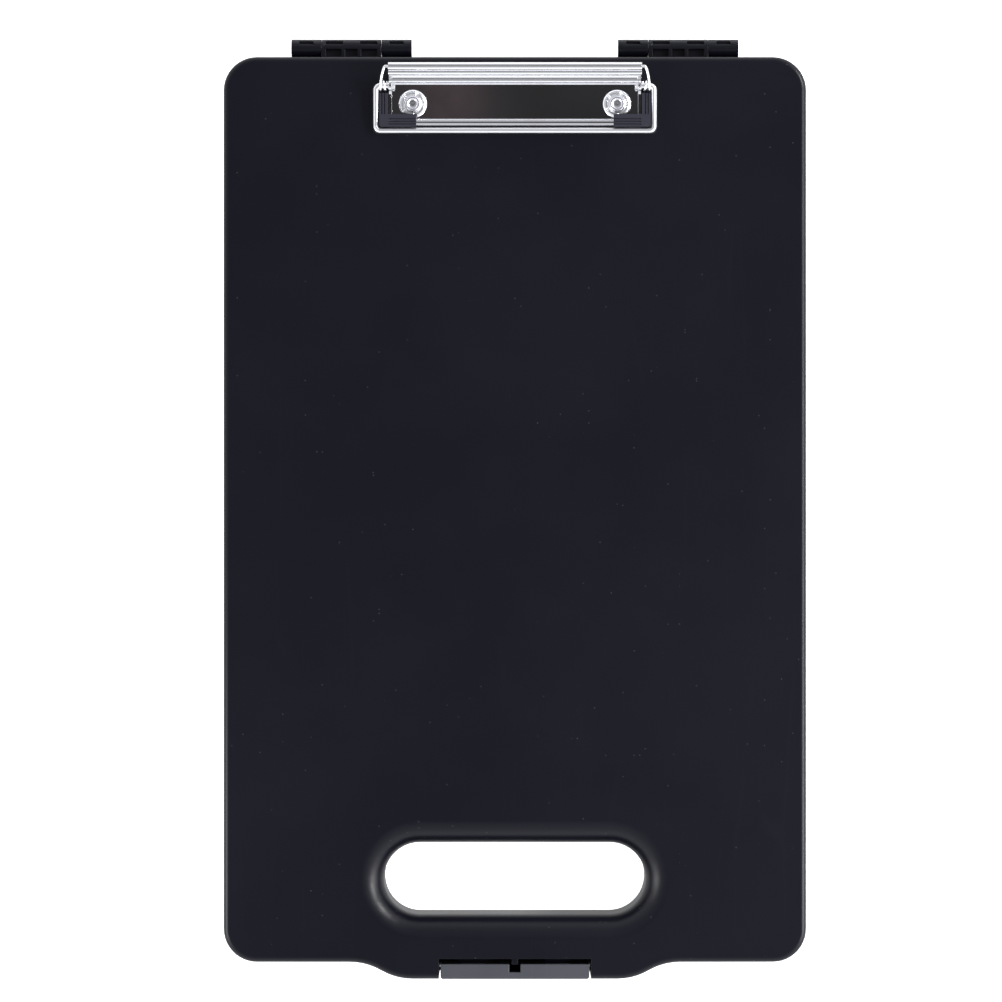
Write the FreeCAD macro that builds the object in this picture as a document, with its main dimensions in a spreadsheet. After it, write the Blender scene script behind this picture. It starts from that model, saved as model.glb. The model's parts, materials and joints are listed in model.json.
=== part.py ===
import FreeCAD, Part
import math
import os
import re

import Sketcher
from FreeCAD import Placement, Rotation, Vector

# A storage clipboard box lying on its back, lid up, in millimetres.
# X runs across, Y runs towards the hinges, Z is up. The origin is at the middle of the underside.

SIZES = {
    # case
    "case_width": 245,
    "case_length": 380.6,
    "case_height": 38,
    "lid_depth": 11,
    "corner_radius": 14,
    "wall": 2.4,
    "lid_edge_round": 2.4,
    "base_edge_round": 3,
    "seam_gap": 0.2,
    "tongue_height": 2.5,
    "rim_clearance": 0.15,
    # hand opening
    "opening_length": 110.4,
    "opening_width": 30.4,
    "opening_inset": 34.6,
    "opening_roll": 10,
    # front bulge and latch recess
    "bulge_reach": 7.1,
    "bulge_half_start": 69.5,
    "bulge_half_full": 43,
    "recess_width": 64,
    "recess_depth": 8.6,
    "recess_sill": 3.5,
    "nub_width": 2.5,
    "nub_reach": 2.5,
    "nub_drop": 1.2,
    "bead_width": 10,
    "bead_height": 2,
    "bead_reach": 2.4,
    "bead_spacing": 36,
    "bead_rise": 3,
    "bead_gap": 0.15,
    # hinges
    "hinge_inset": 53.55,
    "hinge_width": 50.7,
    "knuckle_width": 12.65,
    "knuckle_gap": 0.5,
    "barrel_radius": 3.95,
    "barrel_gap": 0.4,
    "knuckle_foot": 9,
    "slot_length": 6,
    "slot_width": 1.4,
    "slot_depth": 2.2,
    "slot_offset": 2.2,
    "window_slot_length": 7.3,
    "pocket_length": 3.2,
    "pocket_depth": 2.4,
    "rib_thickness": 1.3,
    "rib_spacing": 6.8,
    "cheek_thickness": 1.3,
    "hinge_pin_diameter": 2.5,
    "hinge_pin_inset": 1,
    "pin_clearance": 0.05,
    # latch
    "latch_side_gap": 0.7,
    "latch_depth": 6.3,
    "latch_thickness": 2.6,
    "latch_flange": 2.2,
    "latch_drop": 0.5,
    "latch_edge_round": 0.9,
    "latch_corner_round": 1.2,
    "latch_knuckle_radius": 3.5,
    "latch_pin_height": 8,
    "latch_pin_diameter": 3,
    "latch_pin_bite": 8,
    "notch_width": 4.7,
    "notch_depth": 3.4,
    # clip: plate
    "clip_inset": 12.7,
    "pivot_height": 3.8,
    "plate_side_gap": 4.2,
    "plate_thickness": 1.2,
    "plate_back": 6.6,
    "plate_front": 16.9,
    "lip_depth": 3.4,
    "lip_height": 2.2,
    "ear_radius": 2.3,
    "ear_foot": 4,
    "rivet_inset": 10.05,
    "rivet_reach": 7.4,
    "rivet_hole_clearance": 0.1,
    # clip: washers and rivets
    "washer_diameter": 11.9,
    "washer_crown_diameter": 6.6,
    "washer_rim": 0.35,
    "washer_rise": 0.95,
    "shank_diameter": 3.2,
    "head_diameter": 6.8,
    "head_rim": 0.3,
    "head_round": 0.8,
    "head_cup_diameter": 3.8,
    "head_cup_depth": 0.6,
    "back_washer_diameter": 10,
    "back_washer_thickness": 1,
    "tail_diameter": 6.4,
    "tail_thickness": 0.9,
    # clip: wire frame
    "bail_width": 119,
    "bail_wire": 2.4,
    "bail_reach": 18.55,
    "bail_bar_height": 1.9,
    "bail_corner": 1.9,
    "bail_end_overrun": 0.2,
    "bail_hole_clearance": 0.1,
    # clip: lever
    "lever_overhang": 0.1,
    "lever_reach": 10,
    "lever_angle": 41.5,
    "lever_sheet": 1,
    "lever_fold": 0.5,
    "roll_radius": 1.65,
    "roll_bore": 1.8,
    "lug_thickness": 0.9,
    "lug_radius": 1.8,
    "lug_gap": 0.25,
    # clip: springs
    "spring_wire": 1.1,
    "spring_pitch": 1.8,
    "spring_bore_clearance": 0.1,
    "spring_side_gap": 0.4,
    "spring_tail": 2,
    "spring_hook": 1.6,
    # clip: corner pads
    "pad_side_gap": 0.3,
    "pad_wire_gap": 0.2,
    "pad_back": 3,
    "pad_foot": 5.3,
    "pad_span": 15.5,
    "pad_height": 4,
    "pad_floor_gap": 0.15,
    "pad_lip": 0.55,
    "pad_lip_span": 9,
    "pad_groove_width": 0.5,
    "pad_groove_depth": 0.4,
    "pad_groove_pitch": 1.1,
    # overrun of every cut that opens to the outside
    "overrun": 1,
}

# Ends of the folds across the thumb lever, as shares of its reach from the pivot.
LEVER_FOLD_SHARES = (0.205, 0.37, 0.575, 0.79, 0.93)
# The coil makes one and a half turns, less the lever's slope.
FULL_TURN = 360
COIL_TURNS = 1.5
# A quarter turn of the coil is the longest span that one pair of arcs follows.
LONGEST_SPAN = 90
# A span that bends by less than this share of the wire is drawn straight.
STRAIGHT_SHARE = 0.0001
SAMPLES_PER_EDGE = 24

HALF_WIDTH = "case_width / 2"
HALF_LENGTH = "case_length / 2"
PARTING = "(case_height - lid_depth)"
LID_BOTTOM = "(case_height - lid_depth + seam_gap)"
FRONT = "(-case_length / 2 - bulge_reach)"
RECESS_BACK = "(-case_length / 2 - bulge_reach + recess_depth)"
CAVITY_FRONT = "(-case_length / 2 - bulge_reach + recess_depth + wall)"
OPENING_Y = "(-case_length / 2 + opening_inset)"
AXIS_Y = "(case_length / 2 + barrel_radius + barrel_gap)"
TONGUE = "(wall / 2 - rim_clearance)"
LATCH_PIN_Y = "(-case_length / 2 - bulge_reach + latch_knuckle_radius)"
CLIP_Y = "(case_length / 2 - clip_inset)"
ORIGIN_SHIFT = "(bulge_reach - 2 * barrel_radius - barrel_gap) / 2"
MIDDLE_KNUCKLE = "(hinge_width - 2 * knuckle_width - 2 * knuckle_gap)"
HINGE_X = "(case_width / 2 - hinge_inset)"
PLATE_HALF = "(bail_width / 2 - bail_wire - plate_side_gap)"
RIVET_X = f"({PLATE_HALF} - rivet_inset)"
LEVER_HALF = f"({PLATE_HALF} + lever_overhang)"
LUG_OUTER = f"({PLATE_HALF} - plate_thickness - lug_gap)"
BAIL_HALF = "(bail_width / 2 - bail_wire / 2)"
BAIL_LENGTH = "sqrt(bail_reach^2 + (pivot_height - bail_bar_height)^2)"
BAIL_SLOPE = "atan((pivot_height - bail_bar_height) / bail_reach)"
COIL_RADIUS = "(bail_wire / 2 + spring_bore_clearance + spring_wire / 2)"

doc = FreeCAD.newDocument("StorageClipboard")


def make_sheet():
    sheet = doc.addObject("Spreadsheet::Sheet", "Sizes")
    for row, (alias, value) in enumerate(SIZES.items(), 1):
        sheet.set(f"A{row}", alias)
        sheet.set(f"B{row}", str(value))
        sheet.setAlias(f"B{row}", alias)
    doc.recompute()
    return sheet


sheet = make_sheet()


def bound(text):
    """An expression in which each size is read from the sheet."""
    return re.sub(r"[a-z_]+", lambda m: f"Sizes.{m[0]}" if m[0] in SIZES else m[0], text)


def value(text):
    result = sheet.evalExpression(bound(text))
    return float(getattr(result, "Value", result))


def bind(thing, name, text):
    thing.setExpression(name, bound(text))


def place(thing, x="0", y="0", z="0"):
    """Seat a sub-part; every one shares the shift that centres the whole box on the origin."""
    bind(thing, "Placement.Base.x", x)
    bind(thing, "Placement.Base.y", f"{y} + {ORIGIN_SHIFT}")
    bind(thing, "Placement.Base.z", z)


def new_body(label):
    body = doc.addObject("PartDesign::Body", label)
    body.Label = label
    return body


def new_sketch(body, name, role, height="0"):
    """A sketch on one of the body's own origin planes, raised along the plane's normal."""
    sketch = body.newObject("Sketcher::SketchObject", name)
    plane = next(feature for feature in body.Origin.OriginFeatures if feature.Role == role)
    sketch.AttachmentSupport = (plane, [""])
    sketch.MapMode = "FlatFace"
    bind(sketch, "AttachmentOffset.Base.z", height)
    return sketch


def pin_point(sketch, geometry, vertex, x, y):
    for kind, text in (("DistanceX", x), ("DistanceY", y)):
        index = sketch.addConstraint(
            Sketcher.Constraint(kind, -1, 1, geometry, vertex, value(text)))
        bind(sketch, f"Constraints[{index}]", text)


def outline(sketch, steps, closed=True):
    """Join steps (x, y) or (x, y, radius, side) of the arc that leaves there; side holds its centre."""
    spots = [Vector(value(step[0]), value(step[1]), 0) for step in steps]
    count = len(steps) if closed else len(steps) - 1
    ends = []
    for index in range(count):
        step = steps[index]
        start, end = spots[index], spots[(index + 1) % len(spots)]
        if len(step) == 2:
            ends.append((sketch.addGeometry(Part.LineSegment(start, end), False), 1, 2))
            continue
        radius = value(step[2])
        chord = end - start
        to_left = Vector(-chord.y, chord.x, 0).normalize()
        sign = 1 if step[3] == "left" else -1
        rise = math.sqrt(max(radius ** 2 - (chord.Length / 2) ** 2, 0))
        centre = (start + end) / 2 + to_left * sign * rise
        first, last = (start, end) if sign > 0 else (end, start)
        angles = [math.atan2(spot.y - centre.y, spot.x - centre.x) for spot in (first, last)]
        arc = Part.ArcOfCircle(Part.Circle(centre, Vector(0, 0, 1), radius), *angles)
        geometry = sketch.addGeometry(arc, False)
        ends.append((geometry, 1, 2) if sign > 0 else (geometry, 2, 1))
        limit = sketch.addConstraint(Sketcher.Constraint("Radius", geometry, radius))
        bind(sketch, f"Constraints[{limit}]", step[2])
    for index, (geometry, start_vertex, end_vertex) in enumerate(ends):
        pin_point(sketch, geometry, start_vertex, *steps[index][:2])
        if closed or index < count - 1:
            following, next_start, _ = ends[(index + 1) % count]
            sketch.addConstraint(
                Sketcher.Constraint("Coincident", geometry, end_vertex, following, next_start))
        else:
            pin_point(sketch, geometry, end_vertex, *steps[-1][:2])


def circle(sketch, x, y, diameter):
    centre = Vector(value(x), value(y), 0)
    shape = Part.Circle(centre, Vector(0, 0, 1), value(diameter) / 2)
    geometry = sketch.addGeometry(shape, False)
    index = sketch.addConstraint(Sketcher.Constraint("Diameter", geometry, value(diameter)))
    bind(sketch, f"Constraints[{index}]", diameter)
    pin_point(sketch, geometry, 3, x, y)


def rectangle(sketch, low_x, low_y, high_x, high_y):
    outline(sketch, [(low_x, low_y), (high_x, low_y), (high_x, high_y), (low_x, high_y)])


def pad(body, name, sketch, length, both_ways=False, reverse=False):
    feature = body.newObject("PartDesign::Pad", name)
    feature.Profile = sketch
    bind(feature, "Length", length)
    feature.SideType = "Symmetric" if both_ways else "One side"
    feature.Reversed = reverse
    doc.recompute()


def pocket(body, name, sketch, depth, both_ways=False, reverse=False):
    """Cut a pocket and make sure that it took something away."""
    before = body.Shape.Volume
    feature = body.newObject("PartDesign::Pocket", name)
    feature.Profile = sketch
    bind(feature, "Length", depth)
    feature.SideType = "Symmetric" if both_ways else "One side"
    feature.Reversed = reverse
    doc.recompute()
    if not body.Shape.Volume < before:
        raise RuntimeError(f"{body.Label}: {name} cuts nothing")


def fillet(body, name, radius, wanted):
    """Round the edges for which the test named wanted is true."""
    base = body.Tip
    names = [f"Edge{number}" for number, edge in enumerate(base.Shape.Edges, 1) if wanted(edge)]
    if not names:
        raise RuntimeError(f"{body.Label}: {name} finds no edge")
    feature = body.newObject("PartDesign::Fillet", name)
    feature.Base = (base, names)
    bind(feature, "Radius", radius)
    doc.recompute()


def revolve(body, name, sketch):
    feature = body.newObject("PartDesign::Revolution", name)
    feature.Profile = sketch
    feature.ReferenceAxis = (sketch, ["V_Axis"])
    doc.recompute()


def flat_at(edge, height):
    """True for an edge that lies level at a height; no two heights are as near as half the seam."""
    box = edge.BoundBox
    near = value("seam_gap / 2")
    return abs(box.ZMin - height) < near and abs(box.ZMax - height) < near


def inside_box(edge, low_x, low_y, high_x, high_y):
    box = edge.BoundBox
    return box.XMin > low_x and box.XMax < high_x and box.YMin > low_y and box.YMax < high_y


def case_outline(sketch):
    """The case seen from above: round corners, and a bulge that swells out of the front."""
    r = "corner_radius"
    swell = "((bulge_half_start - bulge_half_full)^2 + bulge_reach^2) / (4 * bulge_reach)"
    middle_x = "(bulge_half_start + bulge_half_full) / 2"
    middle_y = "-case_length / 2 - bulge_reach / 2"
    outline(sketch, [
        (f"-{HALF_WIDTH} + {r}", f"-{HALF_LENGTH}"),
        ("-bulge_half_start", f"-{HALF_LENGTH}", swell, "right"),
        (f"-{middle_x}", middle_y, swell, "left"),
        ("-bulge_half_full", FRONT),
        ("bulge_half_full", FRONT, swell, "left"),
        (middle_x, middle_y, swell, "right"),
        ("bulge_half_start", f"-{HALF_LENGTH}"),
        (f"{HALF_WIDTH} - {r}", f"-{HALF_LENGTH}", r, "left"),
        (HALF_WIDTH, f"-{HALF_LENGTH} + {r}"),
        (HALF_WIDTH, f"{HALF_LENGTH} - {r}", r, "left"),
        (f"{HALF_WIDTH} - {r}", HALF_LENGTH),
        (f"-{HALF_WIDTH} + {r}", HALF_LENGTH, r, "left"),
        (f"-{HALF_WIDTH}", f"{HALF_LENGTH} - {r}"),
        (f"-{HALF_WIDTH}", f"-{HALF_LENGTH} + {r}", r, "left"),
    ])


def cavity_outline(sketch, grow="0"):
    """The inside of the case seen from above, drawn larger all round by grow."""
    r = f"(corner_radius - wall + {grow})"
    x = f"({HALF_WIDTH} - wall + {grow})"
    back = f"({HALF_LENGTH} - wall + {grow})"
    front = f"({CAVITY_FRONT} - {grow})"
    outline(sketch, [
        (f"-{x} + {r}", front),
        (f"{x} - {r}", front, r, "left"),
        (x, f"{front} + {r}"),
        (x, f"{back} - {r}", r, "left"),
        (f"{x} - {r}", back),
        (f"-{x} + {r}", back, r, "left"),
        (f"-{x}", f"{back} - {r}"),
        (f"-{x}", f"{front} + {r}", r, "left"),
    ])


def opening_outline(sketch, grow="0"):
    """The hand opening, a slot with round ends, drawn larger all round by grow."""
    r = f"(opening_width / 2 + {grow})"
    x = "(opening_length / 2 - opening_width / 2)"
    outline(sketch, [
        (f"-{x}", f"{OPENING_Y} - {r}"),
        (x, f"{OPENING_Y} - {r}", r, "left"),
        (f"{x} + {r}", OPENING_Y, r, "left"),
        (x, f"{OPENING_Y} + {r}"),
        (f"-{x}", f"{OPENING_Y} + {r}", r, "left"),
        (f"-{x} - {r}", OPENING_Y, r, "left"),
    ])


def is_outer_edge(edge, height):
    """True for a level edge on the outside of the case, not round the hand opening."""
    if not flat_at(edge, height):
        return False
    reach = value("opening_length")
    middle = value(OPENING_Y)
    across = value("opening_width")
    return not inside_box(edge, -reach, middle - across, reach, middle + across)


def is_opening_edge(edge, height, grow):
    """True for a level edge of the hand opening drawn larger by grow."""
    if not flat_at(edge, height):
        return False
    reach = value("opening_length") / 2 + grow + value("rim_clearance")
    across = value("opening_width") / 2 + grow + value("rim_clearance")
    middle = value(OPENING_Y)
    return inside_box(edge, -reach, middle - across, reach, middle + across)


def hollow_case(body, cut_plane, outside, roof, upwards):
    """Hollow a shell from its parting plane, leaving the collar of the hand opening standing."""
    fillet(body, "OuterEdge", "lid_edge_round" if upwards else "base_edge_round",
           lambda edge: is_outer_edge(edge, value(outside)))
    cavity = new_sketch(body, "CavitySketch", "XY_Plane", cut_plane)
    cavity_outline(cavity)
    opening_outline(cavity, "wall")
    depth = f"{roof} - {cut_plane}" if upwards else f"{cut_plane} - {roof}"
    pocket(body, "Cavity", cavity, depth, reverse=upwards)
    fillet(body, "CollarFoot", "opening_roll - wall",
           lambda edge: is_opening_edge(edge, value(roof), value("wall")))
    hole = new_sketch(body, "OpeningSketch", "XY_Plane", cut_plane)
    opening_outline(hole)
    pocket(body, "Opening", hole, "2 * case_height", both_ways=True)
    fillet(body, "OpeningRoll", "opening_roll",
           lambda edge: is_opening_edge(edge, value(outside), 0))


def hinge_places():
    """The side of each hinge, with its middle."""
    return [(side, f"{side} * {HINGE_X}") for side in (-1, 1)]


def bore_hinges(body):
    """One round hole along X through every knuckle of the body."""
    for side, middle in hinge_places():
        name = f"Bore{'Left' if side < 0 else 'Right'}"
        sketch = new_sketch(body, name + "Sketch", "YZ_Plane", middle)
        circle(sketch, AXIS_Y, PARTING, "hinge_pin_diameter + 2 * pin_clearance")
        pocket(body, name, sketch, "hinge_width + 2 * overrun", both_ways=True)


def base_knuckles(body):
    """Two outer knuckles for each hinge, each on a web below the parting plane."""
    r = "barrel_radius"
    for side, middle in hinge_places():
        for end in (-1, 1):
            name = f"Knuckle{'Left' if side < 0 else 'Right'}{'A' if end < 0 else 'B'}"
            where = f"{middle} + {end} * (hinge_width - knuckle_width) / 2"
            sketch = new_sketch(body, name + "Sketch", "YZ_Plane", where)
            outline(sketch, [
                (f"{HALF_LENGTH} - wall / 2", PARTING),
                (f"{HALF_LENGTH} - wall / 2", f"{PARTING} - knuckle_foot"),
                (HALF_LENGTH, f"{PARTING} - knuckle_foot"),
                (AXIS_Y, f"{PARTING} - {r}", r, "left"),
                (f"{AXIS_Y} + {r}", PARTING, r, "left"),
                (AXIS_Y, f"{PARTING} + {r}", r, "left"),
                (f"{AXIS_Y} - {r}", PARTING),
            ])
            pad(body, name, sketch, "knuckle_width", both_ways=True)
            slot = new_sketch(body, name + "SlotSketch", "XY_Plane", f"{PARTING} + {r}")
            slot_y = f"({AXIS_Y} + slot_offset)"
            rectangle(slot, f"{where} - slot_length / 2", f"{slot_y} - slot_width / 2",
                      f"{where} + slot_length / 2", f"{slot_y} + slot_width / 2")
            pocket(body, name + "Slot", slot, "slot_depth")


def make_base_shell():
    body = new_body("base_shell")
    block = new_sketch(body, "BlockSketch", "XY_Plane")
    case_outline(block)
    pad(body, "Block", block, PARTING)
    hollow_case(body, PARTING, "0", "wall", upwards=False)

    tongue = new_sketch(body, "TongueSketch", "XY_Plane", PARTING)
    cavity_outline(tongue, TONGUE)
    cavity_outline(tongue)
    pad(body, "Tongue", tongue, "tongue_height")

    recess = new_sketch(body, "RecessSketch", "XY_Plane", "recess_sill")
    rectangle(recess, "-recess_width / 2", f"{FRONT} - overrun", "recess_width / 2", RECESS_BACK)
    pocket(body, "Recess", recess, "case_height", reverse=True)

    bore = new_sketch(body, "LatchBoreSketch", "YZ_Plane")
    circle(bore, LATCH_PIN_Y, "latch_pin_height", "latch_pin_diameter + 2 * pin_clearance")
    pocket(body, "LatchBore", bore, "recess_width + 2 * latch_pin_bite", both_ways=True)

    base_knuckles(body)
    bore_hinges(body)
    place(body)
    return body


def lid_knuckles(body):
    """A middle knuckle for each hinge, its top opened by pockets between thin ribs."""
    r = "barrel_radius"
    top = f"{PARTING} + {r}"
    for side, middle in hinge_places():
        name = f"Knuckle{'Left' if side < 0 else 'Right'}"
        sketch = new_sketch(body, name + "Sketch", "YZ_Plane", middle)
        outline(sketch, [
            (f"{HALF_LENGTH} - wall / 2", LID_BOTTOM),
            (f"{AXIS_Y} - {r}", LID_BOTTOM),
            (f"{AXIS_Y} - {r}", PARTING, r, "left"),
            (AXIS_Y, f"{PARTING} - {r}", r, "left"),
            (f"{AXIS_Y} + {r}", PARTING, r, "left"),
            (AXIS_Y, top),
            (f"{HALF_LENGTH} - wall / 2", top),
        ])
        pad(body, name, sketch, MIDDLE_KNUCKLE, both_ways=True)

        windows = new_sketch(body, name + "PocketSketch", "XY_Plane", top)
        half = f"({MIDDLE_KNUCKLE} / 2 - cheek_thickness)"
        rib = "(rib_spacing / 2 + rib_thickness / 2)"
        inner = "(rib_spacing / 2 - rib_thickness / 2)"
        low = f"({AXIS_Y} - barrel_gap - pocket_length)"
        spans = ((f"-{half}", f"-{rib}"), (f"-{inner}", inner), (rib, half))
        for start, end in spans:
            rectangle(windows, f"{middle} + {start}", low,
                      f"{middle} + {end}", f"{low} + pocket_length")
        pocket(body, name + "Pockets", windows, "pocket_depth")

        slots = new_sketch(body, name + "SlotSketch", "XY_Plane", top)
        slot_y = f"({AXIS_Y} + slot_offset)"
        for end in (-1, 1):
            centre = f"{middle} + {end} * ({half} - window_slot_length / 2)"
            rectangle(slots, f"{centre} - window_slot_length / 2", f"{slot_y} - slot_width / 2",
                      f"{centre} + window_slot_length / 2", f"{slot_y} + slot_width / 2")
        pocket(body, name + "Slots", slots, "slot_depth")


def make_lid_shell():
    body = new_body("lid_shell")
    block = new_sketch(body, "BlockSketch", "XY_Plane", LID_BOTTOM)
    case_outline(block)
    pad(body, "Block", block, f"case_height - {LID_BOTTOM}")
    hollow_case(body, LID_BOTTOM, "case_height", "(case_height - wall)", upwards=True)

    rebate = new_sketch(body, "RebateSketch", "XY_Plane", LID_BOTTOM)
    cavity_outline(rebate, "wall / 2")
    cavity_outline(rebate)
    pocket(body, "Rebate", rebate, "tongue_height", reverse=True)

    recess = new_sketch(body, "RecessSketch", "XY_Plane", PARTING)
    rectangle(recess, "-recess_width / 2", f"{FRONT} - overrun", "recess_width / 2", RECESS_BACK)
    pocket(body, "Recess", recess, "case_height", reverse=True)

    nub = new_sketch(body, "NubSketch", "XY_Plane", LID_BOTTOM)
    rectangle(nub, "-nub_width / 2", f"{RECESS_BACK} - nub_reach",
              "nub_width / 2", f"{RECESS_BACK} + wall / 2")
    pad(body, "Nub", nub, f"case_height - nub_drop - {LID_BOTTOM}")
    for end in (-1, 1):
        bead = new_sketch(body, f"Bead{'Left' if end < 0 else 'Right'}Sketch",
                          "YZ_Plane", f"{end} * bead_spacing / 2")
        middle = f"({PARTING} + bead_rise)"
        outline(bead, [
            (f"{RECESS_BACK} + wall / 2", f"{middle} - bead_height / 2"),
            (f"{RECESS_BACK} + wall / 2", f"{middle} + bead_height / 2"),
            (f"{RECESS_BACK} - bead_reach", f"{middle} + bead_height / 4"),
            (f"{RECESS_BACK} - bead_reach", f"{middle} - bead_height / 4"),
        ])
        pad(body, f"Bead{'Left' if end < 0 else 'Right'}", bead, "bead_width", both_ways=True)

    holes = new_sketch(body, "RivetHoleSketch", "XY_Plane", "case_height")
    for end in (-1, 1):
        circle(holes, f"{end} * {RIVET_X}", f"{CLIP_Y} - rivet_reach",
               "shank_diameter + 2 * rivet_hole_clearance")
    pocket(body, "RivetHoles", holes, "2 * wall")

    lid_knuckles(body)
    bore_hinges(body)
    place(body)
    return body


def make_latch():
    """An L-shaped catch: a plate that turns on a pin at its foot, and a flange along its top."""
    body = new_body("latch")
    r = "latch_knuckle_radius"
    top = "(case_height - latch_drop)"
    back = f"({FRONT} + latch_thickness)"
    width = "(recess_width - 2 * latch_side_gap)"
    section = new_sketch(body, "SectionSketch", "YZ_Plane")
    outline(section, [
        (LATCH_PIN_Y, f"latch_pin_height - {r}", r, "left"),
        (f"{LATCH_PIN_Y} + {r}", "latch_pin_height", r, "left"),
        (LATCH_PIN_Y, f"latch_pin_height + {r}"),
        (back, f"latch_pin_height + {r} + latch_thickness / 2"),
        (back, f"{top} - latch_flange"),
        (f"{FRONT} + latch_depth", f"{top} - latch_flange"),
        (f"{FRONT} + latch_depth", top),
        (f"{FRONT} + latch_edge_round", top, "latch_edge_round", "left"),
        (FRONT, f"{top} - latch_edge_round"),
        (FRONT, "latch_pin_height", r, "left"),
    ])
    pad(body, "Section", section, width, both_ways=True)

    corners = new_sketch(body, "CornerSketch", "XY_Plane", "case_height")
    half = f"{width} / 2"
    c = "latch_corner_round"
    for end in (-1, 1):
        outline(corners, [
            (f"{end} * ({half} - {c})", f"{FRONT} - overrun"),
            (f"{end} * ({half} + overrun)", f"{FRONT} - overrun"),
            (f"{end} * ({half} + overrun)", f"{FRONT} + {c}"),
            (f"{end} * {half}", f"{FRONT} + {c}", c, "right" if end > 0 else "left"),
            (f"{end} * ({half} - {c})", FRONT),
        ])
    pocket(body, "Corners", corners, "case_height")

    notch = new_sketch(body, "NotchSketch", "XY_Plane", top)
    rectangle(notch, "-notch_width / 2", f"{FRONT} + latch_depth - notch_depth",
              "notch_width / 2", f"{FRONT} + latch_depth + overrun")
    pocket(body, "Notch", notch, "2 * latch_flange")

    for end in (-1, 1):
        name = f"Hook{'Left' if end < 0 else 'Right'}"
        hook = new_sketch(body, name + "Sketch", "YZ_Plane", f"{end} * bead_spacing / 2")
        tip = f"({RECESS_BACK} - bead_reach - bead_gap)"
        low = f"({PARTING} + bead_rise + bead_height / 2 + bead_gap)"
        outline(hook, [
            (f"{back} - latch_thickness / 2", low),
            (tip, f"{low} + bead_height / 4"),
            (tip, f"{low} + 3 * bead_height / 4"),
            (f"{back} - latch_thickness / 2", f"{low} + bead_height"),
        ])
        pad(body, name, hook, "bead_width", both_ways=True)

    bore = new_sketch(body, "BoreSketch", "YZ_Plane")
    circle(bore, LATCH_PIN_Y, "latch_pin_height", "latch_pin_diameter + 2 * pin_clearance")
    pocket(body, "Bore", bore, "recess_width", both_ways=True)
    place(body)
    return body


def make_pin(label, diameter, length, x, y, z):
    """A plain steel pin along X, with its left end at x."""
    pin = doc.addObject("Part::Cylinder", label)
    pin.Label = label
    bind(pin, "Radius", f"{diameter} / 2")
    bind(pin, "Height", length)
    pin.Placement = Placement(Vector(0, 0, 0), Rotation(Vector(0, 0, 1), Vector(1, 0, 0)))
    place(pin, x, y, z)
    return pin


def make_pins():
    pins = []
    for side, middle in hinge_places():
        pins.append(make_pin(f"hinge_pin_{'left' if side < 0 else 'right'}",
                             "hinge_pin_diameter", "hinge_width - 2 * hinge_pin_inset",
                             f"{middle} - hinge_width / 2 + hinge_pin_inset", AXIS_Y, PARTING))
    pins.append(make_pin("latch_pin", "latch_pin_diameter",
                         "recess_width + 2 * latch_pin_bite - 2 * pin_clearance",
                         "-recess_width / 2 - latch_pin_bite + pin_clearance",
                         LATCH_PIN_Y, "latch_pin_height"))
    return pins


def make_base_plate():
    """The riveted plate: flat, with a rolled front lip, low side walls and two pivot ears."""
    body = new_body("clip_base_plate")
    flat = new_sketch(body, "FlatSketch", "XY_Plane")
    rectangle(flat, f"-{PLATE_HALF}", "-plate_front + lip_depth / 2", PLATE_HALF, "plate_back")
    pad(body, "Flat", flat, "plate_thickness")

    lip = new_sketch(body, "LipSketch", "YZ_Plane")
    r = "lip_depth / 2"
    foot = "(lip_height - lip_depth / 2)"
    outline(lip, [
        ("-plate_front", "0"),
        ("-plate_front + lip_depth", "0"),
        ("-plate_front + lip_depth", foot, r, "left"),
        (f"-plate_front + {r}", "lip_height", r, "left"),
        ("-plate_front", foot),
    ])
    pad(body, "Lip", lip, f"2 * {PLATE_HALF}", both_ways=True)

    for side in (-1, 1):
        name = "Left" if side < 0 else "Right"
        middle = f"{side} * ({PLATE_HALF} - plate_thickness / 2)"
        wall = new_sketch(body, f"{name}WallSketch", "YZ_Plane", middle)
        rectangle(wall, "-plate_front + lip_depth / 2", "0", "ear_foot", "lip_height")
        pad(body, f"{name}Wall", wall, "plate_thickness", both_ways=True)
        ear = new_sketch(body, f"{name}EarSketch", "YZ_Plane", middle)
        outline(ear, [
            ("-ear_foot", "0"),
            ("ear_foot", "0"),
            ("ear_foot", "plate_thickness"),
            ("ear_radius", "pivot_height", "ear_radius", "left"),
            ("0", "pivot_height + ear_radius", "ear_radius", "left"),
            ("-ear_radius", "pivot_height"),
            ("-ear_foot", "plate_thickness"),
        ])
        pad(body, f"{name}Ear", ear, "plate_thickness", both_ways=True)

    pivot = new_sketch(body, "PivotSketch", "YZ_Plane")
    circle(pivot, "0", "pivot_height", "bail_wire + 2 * bail_hole_clearance")
    pocket(body, "PivotHoles", pivot, f"2 * ({PLATE_HALF} + overrun)", both_ways=True)

    holes = new_sketch(body, "RivetHoleSketch", "XY_Plane", "plate_thickness")
    for side in (-1, 1):
        circle(holes, f"{side} * {RIVET_X}", "-rivet_reach",
               "shank_diameter + 2 * rivet_hole_clearance")
    pocket(body, "RivetHoles", holes, "2 * plate_thickness")
    place(body, "0", CLIP_Y, "case_height")
    return body


def make_washer(label, side):
    """A ring pressed into a shallow dome, on the plate under a rivet's head."""
    body = new_body(label)
    section = new_sketch(body, "SectionSketch", "XZ_Plane")
    bore = "(shank_diameter / 2 + rivet_hole_clearance)"
    outline(section, [
        (bore, "0"),
        ("washer_diameter / 2", "0"),
        ("washer_diameter / 2", "washer_rim"),
        ("washer_crown_diameter / 2", "washer_rise"),
        (bore, "washer_rise"),
    ])
    revolve(body, "Ring", section)
    place(body, f"{side} * {RIVET_X}", f"{CLIP_Y} - rivet_reach",
          "case_height + plate_thickness")
    return body


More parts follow.
